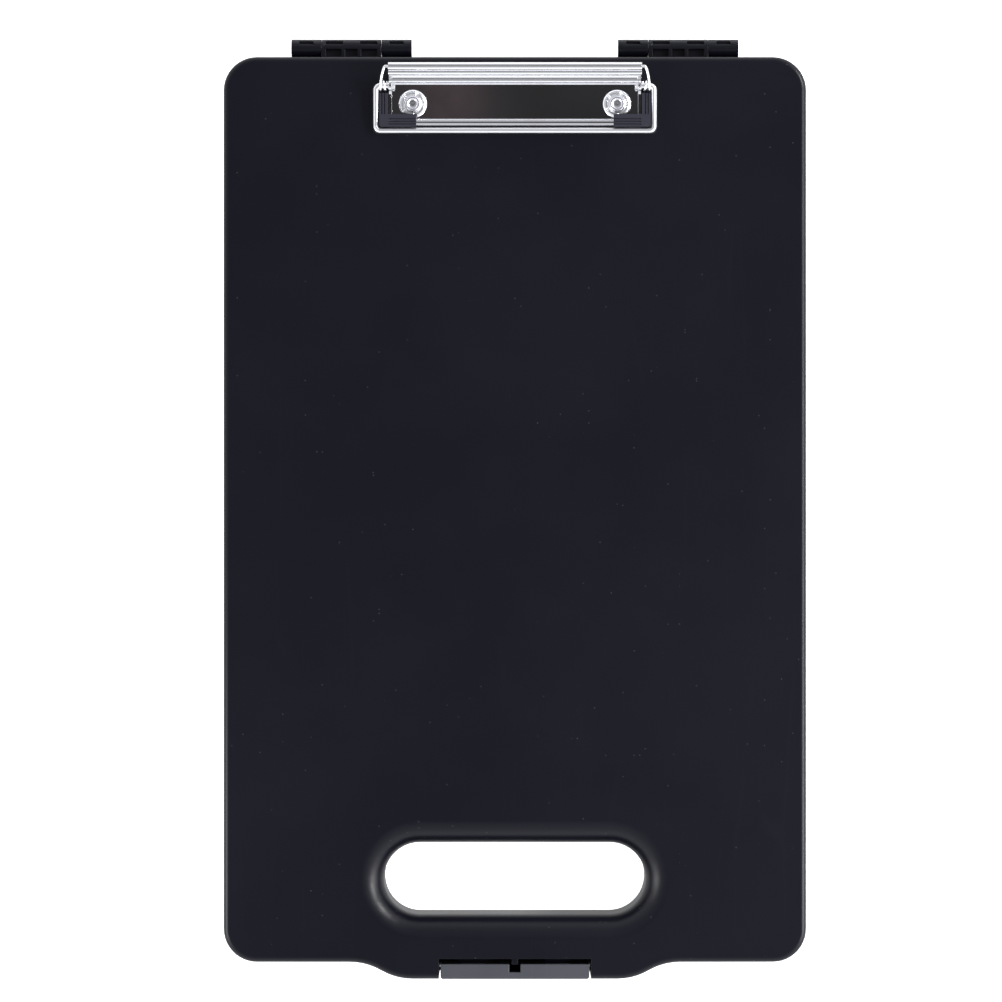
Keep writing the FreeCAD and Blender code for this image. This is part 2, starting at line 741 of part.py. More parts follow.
def make_back_washer(label, side):
    """A flat washer under the lid's roof."""
    body = new_body(label)
    ring = new_sketch(body, "RingSketch", "XY_Plane")
    circle(ring, "0", "0", "back_washer_diameter")
    circle(ring, "0", "0", "shank_diameter + 2 * rivet_hole_clearance")
    pad(body, "Ring", ring, "back_washer_thickness")
    place(body, f"{side} * {RIVET_X}", f"{CLIP_Y} - rivet_reach",
          "case_height - wall - back_washer_thickness")
    return body


def make_rivet(label, side):
    """A rivet with a cupped head on the washer, and its tail spread under the back washer."""
    body = new_body(label)
    section = new_sketch(body, "SectionSketch", "XZ_Plane")
    tail = "(-plate_thickness - wall - back_washer_thickness)"
    seat = "washer_rise"
    top = f"({seat} + head_rim + head_round)"
    outline(section, [
        ("0", f"{tail} - tail_thickness"),
        ("tail_diameter / 2", f"{tail} - tail_thickness"),
        ("tail_diameter / 2", tail),
        ("shank_diameter / 2", tail),
        ("shank_diameter / 2", seat),
        ("head_diameter / 2", seat),
        ("head_diameter / 2", f"{seat} + head_rim", "head_round", "left"),
        ("head_diameter / 2 - head_round", top),
        ("head_cup_diameter / 2", top),
        ("head_cup_diameter / 2 - head_cup_depth / 2", f"{top} - head_cup_depth"),
        ("0", f"{top} - head_cup_depth"),
    ])
    revolve(body, "Rivet", section)
    place(body, f"{side} * {RIVET_X}", f"{CLIP_Y} - rivet_reach",
          "case_height + plate_thickness")
    return body


def tilt(body, angle):
    """Turn a clip piece about the pivot's axis and seat it there."""
    body.Placement = Placement(Vector(0, 0, 0), Rotation(Vector(1, 0, 0), value(angle)))
    bind(body, "Placement.Rotation.Angle", angle)
    place(body, "0", CLIP_Y, "case_height + pivot_height")


def make_bail():
    """A wire bent to a shallow U; its ends turn in along the pivot's axis, through the ears."""
    body = new_body("clip_bail")
    c = "bail_corner"
    end_x = f"({LUG_OUTER} - lug_thickness - bail_end_overrun)"
    path = new_sketch(body, "PathSketch", "XY_Plane")
    outline(path, [
        (f"-{end_x}", "0"),
        (f"-{BAIL_HALF} + {c}", "0", c, "left"),
        (f"-{BAIL_HALF}", f"-{c}"),
        (f"-{BAIL_HALF}", f"-{BAIL_LENGTH} + {c}", c, "left"),
        (f"-{BAIL_HALF} + {c}", f"-{BAIL_LENGTH}"),
        (f"{BAIL_HALF} - {c}", f"-{BAIL_LENGTH}", c, "left"),
        (BAIL_HALF, f"-{BAIL_LENGTH} + {c}"),
        (BAIL_HALF, f"-{c}", c, "left"),
        (f"{BAIL_HALF} - {c}", "0"),
        (end_x, "0"),
    ], closed=False)
    section = new_sketch(body, "SectionSketch", "YZ_Plane", f"-{end_x}")
    circle(section, "0", "0", "bail_wire")
    doc.recompute()
    pipe = body.newObject("PartDesign::AdditivePipe", "Wire")
    pipe.Profile = section
    pipe.Spine = (path, [f"Edge{number + 1}" for number in range(len(path.Shape.Edges))])
    doc.recompute()
    tilt(body, BAIL_SLOPE)
    return body


def make_lever():
    """A folded thumb plate that ends in a roll, with a lug at each end that grips the wire."""
    body = new_body("clip_lever")
    half = "lever_sheet / 2"
    spots = [f"(lever_reach * {share})" for share in LEVER_FOLD_SHARES]

    def folded(name, first, last, width):
        """Folds from one spot to another: up, down and up again across the strip."""
        strip = new_sketch(body, name + "Sketch", "YZ_Plane")
        under, over = [], []
        for number in range(first, last):
            chord = f"({spots[number + 1]} - {spots[number]})"
            radius = f"(({chord} / 2)^2 + lever_fold^2) / (2 * lever_fold)"
            up = number % 2 == 0
            under.append((spots[number], f"-{half}", radius, "right" if up else "left"))
            over.append((spots[number + 1], half, radius, "left" if up else "right"))
        steps = under + [(spots[last], f"-{half}")] + over[::-1] + [(spots[first], half)]
        outline(strip, steps)
        pad(body, name, strip, width, both_ways=True)

    folded("LowerFolds", 0, 2, f"2 * {LUG_OUTER}")
    folded("UpperFolds", 2, 4, f"2 * {LEVER_HALF}")
    roll = new_sketch(body, "RollSketch", "YZ_Plane")
    circle(roll, "lever_reach", "0", "2 * roll_radius")
    pad(body, "Roll", roll, f"2 * {LEVER_HALF}", both_ways=True)
    for side in (-1, 1):
        name = "Left" if side < 0 else "Right"
        middle = f"{side} * ({LUG_OUTER} - lug_thickness / 2)"
        lug = new_sketch(body, f"{name}LugSketch", "YZ_Plane", middle)
        r = "lug_radius"
        outline(lug, [
            ("0", f"-{r}"),
            (spots[1], f"-{half}"),
            (spots[1], half),
            ("0", r, r, "left"),
            (f"-{r}", "0", r, "left"),
        ])
        pad(body, f"{name}Lug", lug, "lug_thickness", both_ways=True)
    bore = new_sketch(body, "RollBoreSketch", "YZ_Plane")
    circle(bore, "lever_reach", "0", "roll_bore")
    pocket(body, "RollBore", bore, f"2 * ({LEVER_HALF} + overrun)", both_ways=True)
    holes = new_sketch(body, "LugHoleSketch", "YZ_Plane")
    circle(holes, "0", "0", "bail_wire + 2 * pin_clearance")
    pocket(body, "LugHoles", holes, f"2 * ({LUG_OUTER} + overrun)", both_ways=True)
    tilt(body, "lever_angle")
    return body


def arc_from(start, tangent, end):
    """The arc that leaves start along tangent and reaches end, or a line where that is straight."""
    chord = end - start
    across = chord - tangent * chord.dot(tangent)
    if across.Length < value("spring_wire") * STRAIGHT_SHARE:
        return Part.LineSegment(start, end).toShape(), tangent
    across.normalize()
    radius = chord.dot(chord) / (2 * chord.dot(across))
    centre = start + across * radius
    to_middle = ((start + end) / 2 - centre).normalize()
    if chord.dot(tangent) < 0:
        to_middle = -to_middle
    final = (tangent * -1 + chord * (2 * chord.dot(tangent) / chord.dot(chord))).normalize()
    return Part.Arc(start, centre + to_middle * radius, end).toShape(), final


def biarc(start, start_tangent, end, end_tangent):
    """Two arcs that share a tangent where they meet."""
    chord = end - start
    both = start_tangent + end_tangent
    spread = 2 * (1 - start_tangent.dot(end_tangent))
    along = chord.dot(both)
    reach = (math.sqrt(along ** 2 + spread * chord.dot(chord)) - along) / spread
    middle = (start + end + (start_tangent - end_tangent) * reach) / 2
    first, joint = arc_from(start, start_tangent, middle)
    second, _ = arc_from(middle, joint, end)
    return [first, second]


def least_gap(edges, wire):
    """The least gap between stretches of the wire that are over half a turn apart."""
    points = []
    walked = 0
    for edge in edges:
        for step in range(SAMPLES_PER_EDGE):
            share = step / SAMPLES_PER_EDGE
            points.append((walked + edge.Length * share, edge.valueAt(
                edge.FirstParameter + (edge.LastParameter - edge.FirstParameter) * share)))
        walked += edge.Length
    half_turn = math.pi * value(COIL_RADIUS)
    return min(a.distanceToPoint(b) for i, (at, a) in enumerate(points)
               for until, b in points[i + 1:] if until - at > half_turn) - wire


def make_spring(label, side):
    """A wound spring on the wire's end: a short tail by the lid, and an arm into the lever's roll."""
    radius = value(COIL_RADIUS)
    wire = value("spring_wire")
    sweep = COIL_TURNS * FULL_TURN - value("lever_angle")
    rise = value("spring_pitch") / FULL_TURN
    start_x = value(f"{PLATE_HALF} + spring_side_gap + spring_wire / 2")

    def coil_point(angle):
        """A spot on the coil, angle degrees before the arm leaves it."""
        turn = math.radians(-angle)
        x = start_x + (sweep - angle) * rise
        return Vector(side * x, radius * math.sin(turn), radius * math.cos(turn))

    def coil_tangent(angle):
        turn = math.radians(-angle)
        per_radian = math.degrees(rise)
        return Vector(side * per_radian, radius * math.cos(turn),
                      -radius * math.sin(turn)).normalize()

    spans = math.ceil(sweep / LONGEST_SPAN)
    angles = [sweep * (1 - step / spans) for step in range(spans + 1)]
    tail_tangent = coil_tangent(sweep)
    tail_end = coil_point(sweep) - tail_tangent * value("spring_tail")
    edges = [Part.LineSegment(tail_end, coil_point(sweep)).toShape()]
    for first, last in zip(angles, angles[1:]):
        edges += biarc(coil_point(first), coil_tangent(first), coil_point(last), coil_tangent(last))
    mouth = Vector(side * (value(LEVER_HALF) + wire), value("lever_reach"), 0)
    inward = Vector(-side, 0, 0)
    edges += biarc(coil_point(0), coil_tangent(0), mouth, inward)
    edges.append(Part.LineSegment(mouth, mouth + inward * (wire + value("spring_hook"))).toShape())
    path = Part.Wire(edges)
    profile = Part.Wire(Part.Circle(tail_end, tail_tangent, wire / 2).toShape())
    spring = doc.addObject("Part::Feature", label)
    spring.Label = label
    spring.Shape = path.makePipeShell([profile], True, False)
    print(f"{label}: least gap to itself {least_gap(edges, wire):.2f} mm, "
          f"length {path.Length:.1f} mm, volume over section times length "
          f"{spring.Shape.Volume / (path.Length * math.pi * wire ** 2 / 4):.3f}")
    tilt(spring, "lever_angle")
    return spring


def make_corner_pad():
    """The right-hand corner grip: an L inside the wire's corner, with a thin lip under the wire."""
    body = new_body("corner_pad_right")
    inner = f"({PLATE_HALF} + pad_side_gap)"
    outer = "(bail_width / 2 - bail_wire - pad_wire_gap)"
    far = f"({outer} - pad_span)"
    front = "(-bail_reach + bail_wire / 2 + pad_wire_gap)"
    under = "(lip_height + pad_side_gap)"
    leg = new_sketch(body, "LegSketch", "XY_Plane", "pad_floor_gap")
    corner = "(bail_corner - bail_wire / 2 + pad_wire_gap)"
    outline(leg, [
        (inner, front),
        (f"{outer} - {corner}", front, corner, "left"),
        (outer, f"{front} + {corner}"),
        (outer, "-pad_back"),
        (inner, "-pad_back"),
    ])
    pad(body, "Leg", leg, "pad_height - pad_floor_gap")
    foot = new_sketch(body, "FootSketch", "XY_Plane", under)
    rectangle(foot, far, front, f"({inner} + {outer}) / 2", f"{front} + pad_foot")
    pad(body, "Foot", foot, f"pad_height - {under}")
    lip = new_sketch(body, "LipSketch", "XY_Plane", "pad_floor_gap")
    edge = "(bail_width / 2)"
    low = "(-bail_reach - bail_wire / 2)"
    outline(lip, [
        (f"{edge} - pad_lip_span", low),
        (f"{edge} - bail_corner", low, "bail_corner", "left"),
        (edge, f"{low} + bail_corner"),
        (edge, f"{low} + pad_lip_span"),
        (inner, f"{low} + pad_lip_span"),
        (inner, front),
        (f"{edge} - pad_lip_span", front),
    ])
    pad(body, "Lip", lip, "pad_lip")
    grooves = new_sketch(body, "GrooveSketch", "XY_Plane", "pad_height")
    count = int(value("(pad_foot - pad_groove_pitch) / pad_groove_pitch"))
    for number in range(1, count + 1):
        inset = f"{number} * pad_groove_pitch"
        y = f"({front} + {inset})"
        rectangle(grooves, f"{far} - overrun", f"{y} - pad_groove_width / 2",
                  f"{inner} - pad_side_gap", f"{y} + pad_groove_width / 2")
    count = int(value(f"({outer} - {inner} - pad_groove_pitch / 2) / pad_groove_pitch"))
    for number in range(1, count + 1):
        x = f"({outer} - {number} * pad_groove_pitch)"
        rectangle(grooves, f"{x} - pad_groove_width / 2", f"{front} + pad_foot",
                  f"{x} + pad_groove_width / 2", "-pad_back + overrun")
    pocket(body, "Grooves", grooves, "pad_groove_depth")
    place(body, "0", CLIP_Y, "case_height")
    return body


def make_mirrored_pad(source):
    """The left-hand corner grip, the other hand of the right one."""
    other = doc.addObject("Part::Mirroring", "corner_pad_left")
    other.Label = "corner_pad_left"
    other.Source = source
    other.Base = Vector(0, 0, 0)
    other.Normal = Vector(1, 0, 0)
    return other


def make_document():
    parts = [make_base_shell(), make_lid_shell(), make_latch()]
    parts += make_pins()
    parts.append(make_base_plate())
    for side, word in ((-1, "left"), (1, "right")):
        parts.append(make_washer(f"clip_washer_{word}", side))
        parts.append(make_rivet(f"clip_rivet_{word}", side))
        parts.append(make_back_washer(f"rivet_back_washer_{word}", side))
        parts.append(make_spring(f"clip_spring_{word}", side))
    parts += [make_bail(), make_lever()]
    right_pad = make_corner_pad()
    parts += [right_pad, make_mirrored_pad(right_pad)]
    return parts


def write_parts(parts):
    doc.recompute()
    for thing in doc.Objects:
        if "Invalid" in thing.State or "Error" in thing.State:
            raise RuntimeError(f"{thing.Label} failed: {thing.State}")
    for part in parts:
        if part.Shape.isNull() or not part.Shape.isValid():
            raise RuntimeError(f"{part.Label} has no valid shape")
    os.makedirs("parts", exist_ok=True)
    for part in parts:
        part.Shape.exportStep(f"parts/{part.Label}.step")
        box = part.Shape.optimalBoundingBox(False)
        print(f"{part.Label}: {len(part.Shape.Solids)} solid, {part.Shape.Volume:.1f} mm3, "
              f"x {box.XMin:.2f} to {box.XMax:.2f}, y {box.YMin:.2f} to {box.YMax:.2f}, "
              f"z {box.ZMin:.2f} to {box.ZMax:.2f}")


write_parts(make_document())
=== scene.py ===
import json
import math

import bmesh
import bpy
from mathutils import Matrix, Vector


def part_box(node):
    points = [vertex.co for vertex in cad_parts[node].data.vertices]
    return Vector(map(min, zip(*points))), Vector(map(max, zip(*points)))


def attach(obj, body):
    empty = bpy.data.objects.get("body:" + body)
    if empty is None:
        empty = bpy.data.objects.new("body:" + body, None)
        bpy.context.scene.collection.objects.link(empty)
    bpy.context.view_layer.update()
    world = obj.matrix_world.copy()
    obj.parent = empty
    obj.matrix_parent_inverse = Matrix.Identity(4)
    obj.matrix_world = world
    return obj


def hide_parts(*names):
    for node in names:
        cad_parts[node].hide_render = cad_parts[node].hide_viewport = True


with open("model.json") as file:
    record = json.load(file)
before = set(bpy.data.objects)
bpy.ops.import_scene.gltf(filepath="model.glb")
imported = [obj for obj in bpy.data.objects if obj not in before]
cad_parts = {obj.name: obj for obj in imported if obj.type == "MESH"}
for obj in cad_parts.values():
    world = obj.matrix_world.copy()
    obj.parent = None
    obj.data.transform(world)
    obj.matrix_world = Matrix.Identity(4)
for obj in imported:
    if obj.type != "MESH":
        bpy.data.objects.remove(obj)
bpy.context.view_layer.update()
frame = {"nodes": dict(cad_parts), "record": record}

# A storage clipboard box on its back, seen from straight above. Its bodies are the base, the lid,
# the latch and the clip's jaw. Metres, X across, Y towards the hinges, Z up.

MM = 0.001


def joint_place(name):
    """Where a joint's axis passes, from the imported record."""
    joints = frame["record"]["behaviour"]["joints"]
    return Vector(next(joint for joint in joints if joint["name"] == name)["pos_m"])


# Colours of the plastics, as shares of light given back
BOX_BLACK = (0.0031, 0.0033, 0.0070, 1)
BOX_DUSTY = (0.0052, 0.0055, 0.0102, 1)
LATCH_GREY = (0.050, 0.051, 0.061, 1)
LATCH_WORN = (0.070, 0.071, 0.084, 1)
PAD_BLACK = (0.0190, 0.0185, 0.0300, 1)
PAD_WORN = (0.0280, 0.0275, 0.0400, 1)
DUST = (0.05, 0.05, 0.05, 1)

# Shares in which patches, scratches, dust and stains show, and how much scratches dull the plating
PATCH_SHARE = 0.35
SCRATCH_SHARE = 0.5
DUST_SHARE = 0.6
STAIN_SHARE = 0.5
SCRATCH_DULLS = 0.12

# Mould grain: its coarse part against the fine part, and the patches where it is worn
COARSE_SCALE = 0.3
COARSE_HEIGHT = 0.7
PATCH_SPAN = (0.35, 0.7)

# Handling: hairlines in three directions, in some places only, and specks of dust
SCRATCH_TURNS = (0.35, 1.45, 2.6)
SCRATCH_STRETCH = (1, 0.035, 1)
SCRATCH_SPAN = (0.012, 0.002)
HANDLED_SCALE = 9
HANDLED_SPAN = (0.58, 0.72)
SPECK_SPAN = (0.16, 0.08)

# Plating: lines drawn out along X, haze and pits
LINE_STRETCH = (0.02, 1, 1)
LINE_HEIGHT = 0.4
PIT_SCALE = 700
PIT_SPAN = (0.66, 0.74)
PIT_DEPTH = 0.6
STAIN_SPAN = (0.45, 0.75)
METAL_SCRATCH_SCALE = 160

# Softness that the shading gives to the edges of moulded and pressed parts
BOX_EDGE = 0.25 * MM
GRIP_EDGE = 0.12 * MM
METAL_EDGE = 0.12 * MM
EDGE_SAMPLES = 6

# Corners that are rounded in the mesh
PLATE_BEND = 0.35 * MM
LATCH_BEND = 0.4 * MM
LIP_BEND = 0.45 * MM
BEND_STEPS = 4
BEND_PROFILE = 0.5
SQUARE_CORNER = math.radians(60)

# How copied meshes are joined and shaded
MERGE = 0.002 * MM
SMOOTH_BELOW = math.radians(32)
FLAT_BELOW = math.radians(0.4)
LARGE_FACE_WEIGHT = 100

# Camera
FACE_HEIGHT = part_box("lid_shell")[1].z
VIEW_CENTRE_X = -5.85 * MM
VIEW_CENTRE_Y = 2.96 * MM
VIEW_WIDTH = 420.84 * MM
VIEW_REACH = 50
LENS = 150
SENSOR = 36

# Ends of the lid's knuckles, each with its place nearer to the base's knuckle
KNUCKLE_ENDS = ((56.75 * MM, 56.45 * MM), (81.15 * MM, 81.45 * MM))
KNUCKLE_MATCH = 0.01 * MM

# Front lips of the pockets in the knuckles: their place behind the hinge's axis, and the height
# over the axis that they start at
HINGE = joint_place("lid_open")
LIP_BEHIND = 1.5 * MM
LIP_MATCH = 0.2 * MM
LIP_ABOVE = 3.4 * MM

# Heights over which the corners of the latch and of the clip's plate are rounded
LATCH_TOP = 34 * MM
PLATE_SKIN = 38.1 * MM

# Clip: the jaw's pivot, the plate's top, and the wire that is bent round the jaw
PIVOT = joint_place("clip_open")
PLATE_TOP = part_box("clip_washer_left")[0].z
WIRE_RADIUS = 1.2 * MM
WIRE_CORNER = 1.9 * MM
WIRE_CORNER_STEPS = 14
WIRE_SIDES = 28
WIRE_END = 50.35 * MM
LEVER_SLOPE = math.radians(41.5)

# Springs: a tail, a coil about the wire's end, and an arm whose ends pull it into its curve
SPRING_RADIUS = 0.55 * MM
SPRING_CORNER_STEPS = 2
SPRING_SIDES = 18
COIL_RADIUS = 1.85 * MM
COIL_PITCH = 1.8 * MM
COIL_START = 53.85 * MM
COIL_SWEEP = math.radians(540) - LEVER_SLOPE
COIL_STEPS = 48
TAIL_LENGTH = 2 * MM
ARM_STEPS = 20
ARM_REACH = 10 * MM
ARM_MOUTH = 54.1 * MM
ARM_HOOK = 2.6 * MM
ARM_PULL_NEAR = 4.5 * MM
ARM_PULL_FAR = 1.0 * MM

# Washers and rivets: half sections as (radius, height) in millimetres above the plate, with five
# creases pressed into the outer slope of the washers and none into the rivets
WASHER_SECTION = ((1.75, 0), (1.75, 0.9), (3.55, 0.92), (3.8, 0.66), (4.15, 0.93), (4.75, 0.86),
                  (5.5, 0.55), (5.93, 0.16), (5.93, 0))
WASHER_CORNER = 0.3 * MM
WASHER_CREASES = {"creases": 5.0, "crease_depth": 0.42 * MM, "crease_from": 3.9 * MM, "phase": 0.5}
CREASE_SHARPNESS = 24.0
RIVET_SECTION = ((0, -5.5), (2.9, -5.5), (3.2, -5.1), (3.2, -4.6), (1.6, -4.6), (1.6, 0.95),
                 (3.3, 0.95), (3.38, 1.35), (2.95, 1.95), (2.45, 2.03), (2.0, 1.85), (1.75, 1.5),
                 (0.9, 1.42), (0, 1.46))
RIVET_CORNER = 0.35 * MM
RIVET_CREASES = {"creases": 0.0, "crease_depth": 0.0, "crease_from": 1.0, "phase": 0.0}
TURNED_CORNER_STEPS = 4
TURNED_SIDES = 96
TURNED_STEPS = 110

# Small steel parts that keep their solids and only get a finish
PIN_NODES = ("hinge_pin_left", "hinge_pin_right", "latch_pin",
             "rivet_back_washer_left", "rivet_back_washer_right")

# Floor
FLOOR_REACH = 4
FLOOR_DROP = 0.2 * MM
FLOOR_ROUGHNESS = 0.9
FLOOR_COLOUR = (0.7, 0.7, 0.7, 1)
FLOOR_LIGHT = (1, 1, 1, 1)
FLOOR_SEEN = 0.8
FLOOR_GLOW = 0.45

# Tent: levels of its parts, and the spans of direction over which each comes in
TENT_LEVEL = 0.38
TENT_HORIZON = 0.8
TENT_RIGHT = 0.35
TENT_LEFT = 0.15
TENT_FRONT = 0.4
TENT_BACK = 0.2
TENT_SPAN = (0.991, 0.965)
HORIZON_SPAN = (0.75, 0.25)
RIGHT_SPAN = (0.1, 0.8)
LEFT_SPAN = (-0.1, -0.8)
FRONT_SPAN = (-0.05, -0.7)
BACK_SPAN = (0.5, 0.9)
BACK_LOW_SPAN = (0.4, 0.15)
TENT_COLOUR = (0.94, 0.96, 1, 1)

# The dim hole in the tent's top, the room that shows in it, and one warm spot of that room
TENT_HOLE = 0.026
TENT_ROOM = 0.016
ROOM_SCALE = 42
ROOM_SPAN = (0.35, 0.7)
TENT_WARM = 0.045
WARM_SPOT = (-0.0125, 0.0965, 0.9953)
WARM_SPAN = (0.014, 0.003)
WARM_COLOUR = (1.15, 0.84, 0.9, 1)

# Soft panels: azimuth and elevation in degrees, distance, width and height in metres, and radiance
PANELS = {"panel_right": (30, 35, 1.5, 0.36, 0.36, 28),
          "panel_side": (0, 36, 1.5, 0.3, 0.36, 22),
          "panel_front_left": (208, 28, 0.45, 0.2, 0.2, 6),
          "panel_front_right": (332, 28, 0.45, 0.2, 0.2, 6)}


# Meshes

def give_finish(mesh, material):
    """Make the material the mesh's only one."""
    mesh.materials.clear()
    mesh.materials.append(material)


def new_piece(name, mesh, material):
    """An object of this mesh and material, at the origin."""
    piece = bpy.data.objects.new(name, mesh)
    bpy.context.scene.collection.objects.link(piece)
    give_finish(mesh, material)
    return piece


def stand_for(piece, body, slot, *nodes):
    """The piece rides on a body and takes the place of CAD nodes; its slot is not used."""
    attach(piece, body)
    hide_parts(*nodes)


def apply_modifiers(piece):
    """Turn what the modifiers make into the piece's own plain mesh."""
    graph = bpy.context.evaluated_depsgraph_get()
    old = piece.data
    made = bpy.data.meshes.new_from_object(piece.evaluated_get(graph), depsgraph=graph)
    piece.modifiers.clear()
    piece.data = made
    bpy.data.meshes.remove(old)


def even_shading(piece):
    """Smooth shading with crisp creases, in which the large flats keep their own direction."""
    piece.data.shade_smooth()
    piece.data.set_sharp_from_angle(angle=SMOOTH_BELOW)
    weighted = piece.modifiers.new("EvenShading", "WEIGHTED_NORMAL")
    weighted.keep_sharp = True
    weighted.weight = LARGE_FACE_WEIGHT
    apply_modifiers(piece)


def joined_copy(node):
    """A bmesh of a CAD node whose loose triangles are joined, with flat faces made whole."""
    bm = bmesh.new()
    bm.from_mesh(frame["nodes"][node].data)
    bmesh.ops.remove_doubles(bm, verts=bm.verts, dist=MERGE)
    bmesh.ops.dissolve_limit(bm, angle_limit=FLAT_BELOW, verts=bm.verts, edges=bm.edges)
    return bm


def plain_mesh(bm, name):
    """A mesh of the bmesh, without the shading that it was copied with."""
    mesh = bpy.data.meshes.new(name)
    bm.to_mesh(mesh)
    bm.free()
    for layer in ("custom_normal", "sharp_edge", "sharp_face"):
        if layer in mesh.attributes:
            mesh.attributes.remove(mesh.attributes[layer])
    return mesh


def round_corners(bm, offset, chosen):
    """Round the square outer corners whose ends are all chosen."""
    corners = [edge for edge in bm.edges if edge.calc_face_angle_signed(0) > SQUARE_CORNER
               and all(chosen(spot.co) for spot in edge.verts)]
    bmesh.ops.bevel(bm, geom=corners, offset=offset, segments=BEND_STEPS, profile=BEND_PROFILE,
                    affect="EDGES", clamp_overlap=True)


def moulded_copy(name, node, material, offset=0, chosen=None):
    """The CAD node's own shape, with its shading made even and its chosen corners rounded."""
    bm = joined_copy(node)
    if chosen:
        round_corners(bm, offset, chosen)
    piece = new_piece(name, plain_mesh(bm, name), material)
    even_shading(piece)
    return piece


# Trees and groups, whose sockets are named "Wire Radius" in Blender and wire_radius here

def label_of(name):
    """The socket's label in Blender."""
    return name.replace("_", " ").title().replace("Ior", "IOR")


def add_node(tree, kind, sockets=None, **settings):
    """A node with its plain settings made and its sockets set or joined."""
    node = tree.nodes.new(kind)
    for name, value in settings.items():
        setattr(node, name, value)
    for name, value in (sockets or {}).items():
        socket = node.inputs[name]
        if isinstance(value, bpy.types.NodeSocket):
            tree.links.new(value, socket)
        else:
            socket.default_value = value
    return node


def maths(tree, operation, first, second=0.0):
    """One step of arithmetic on two numbers, either of which may come from a socket."""
    return add_node(tree, "ShaderNodeMath", {0: first, 1: second}, operation=operation).outputs[0]


def plus(tree, first, second):
    return maths(tree, "ADD", first, second)


def times(tree, first, second):
    return maths(tree, "MULTIPLY", first, second)


def new_group(name, outputs, **inputs):
    """A shader group of numbers; gives the tree, what comes in and what goes out."""
    tree = bpy.data.node_groups.new(name, "ShaderNodeTree")
    for key, value in inputs.items():
        socket = tree.interface.new_socket(label_of(key), in_out="INPUT", socket_type="NodeSocketFloat")
        socket.default_value = value
    for label in outputs:
        tree.interface.new_socket(label, in_out="OUTPUT", socket_type="NodeSocketFloat")
    return tree, tree.nodes.new("NodeGroupInput").outputs, tree.nodes.new("NodeGroupOutput").inputs


def use_group(tree, group, **values):
    """The group placed in a material, with this material's own values."""
    sockets = {label_of(name): value for name, value in values.items()}
    return add_node(tree, "ShaderNodeGroup", sockets, node_tree=group).outputs


def noise_at(tree, vector, scale, detail=2, roughness=0.5):
    """Soft noise between 0 and 1."""
    sockets = {"Vector": vector, "Scale": scale, "Detail": detail, "Roughness": roughness}
    return add_node(tree, "ShaderNodeTexNoise", sockets).outputs["Fac"]


def ramp(tree, value, none, full):
    """0 at none and 1 at full, smooth between; either may be the greater."""
    sockets = {"Value": value, "From Min": none, "From Max": full}
    node = add_node(tree, "ShaderNodeMapRange", sockets, interpolation_type="SMOOTHSTEP")
    return node.outputs["Result"]


def mixed(tree, share, first, second):
    """A colour between two; 6, 7 and 2 are the Mix node's sockets for colours."""
    return add_node(tree, "ShaderNodeMix", {0: share, 6: first, 7: second}, data_type="RGBA").outputs[2]


def place_in(tree, scale=(1, 1, 1), turn=0):
    """The piece's own place, stretched, and turned about the upright axis."""
    spot = tree.nodes.new("ShaderNodeTexCoord").outputs["Object"]
    sockets = {"Vector": spot, "Scale": scale, "Rotation": (0, 0, turn)}
    return add_node(tree, "ShaderNodeMapping", sockets).outputs["Vector"]


# Effects that several finishes share

def make_mould_grain():
    """Fine spark-eroded grain, as a height, with the slight tone and gloss changes it brings."""
    tree, given, out = new_group("MouldGrain", ["Height", "Roughness", "Patch"],
                                 grain_scale=2600, patch_scale=14, gloss=0.5, gloss_change=0.06)
    spot = place_in(tree)
    fine = noise_at(tree, spot, given["Grain Scale"], roughness=0.6)
    coarse = noise_at(tree, spot, times(tree, given["Grain Scale"], COARSE_SCALE))
    height = plus(tree, fine, times(tree, coarse, COARSE_HEIGHT))
    patch = noise_at(tree, spot, given["Patch Scale"], detail=3, roughness=0.55)
    centred = maths(tree, "SUBTRACT", patch, 0.5)
    change = times(tree, centred, given["Gloss Change"])
    tree.links.new(height, out["Height"])
    tree.links.new(plus(tree, given["Gloss"], change), out["Roughness"])
    tree.links.new(ramp(tree, patch, *PATCH_SPAN), out["Patch"])
    return tree


def make_handling():
    """Marks of handling: hairline scratches and a few specks of dust."""
    tree, given, out = new_group("Handling", ["Scratches", "Specks"],
                                 scratch_scale=60, speck_scale=420, speck_share=0.06)
    total = None
    for turn in SCRATCH_TURNS:
        line = add_node(tree, "ShaderNodeTexVoronoi", {
            "Vector": place_in(tree, SCRATCH_STRETCH, turn), "Scale": given["Scratch Scale"]},
            feature="DISTANCE_TO_EDGE").outputs["Distance"]
        mark = ramp(tree, line, *SCRATCH_SPAN)
        handled = noise_at(tree, place_in(tree, turn=turn), HANDLED_SCALE)
        worn = times(tree, mark, ramp(tree, handled, *HANDLED_SPAN))
        total = worn if total is None else maths(tree, "MAXIMUM", total, worn)
    cells = add_node(tree, "ShaderNodeTexVoronoi", {
        "Vector": place_in(tree), "Scale": given["Speck Scale"]}).outputs
    pick = add_node(tree, "ShaderNodeSeparateColor", {"Color": cells["Color"]}).outputs["Red"]
    near = ramp(tree, cells["Distance"], *SPECK_SPAN)
    speck = times(tree, near, maths(tree, "LESS_THAN", pick, given["Speck Share"]))
    tree.links.new(total, out["Scratches"])
    tree.links.new(speck, out["Specks"])
    return tree


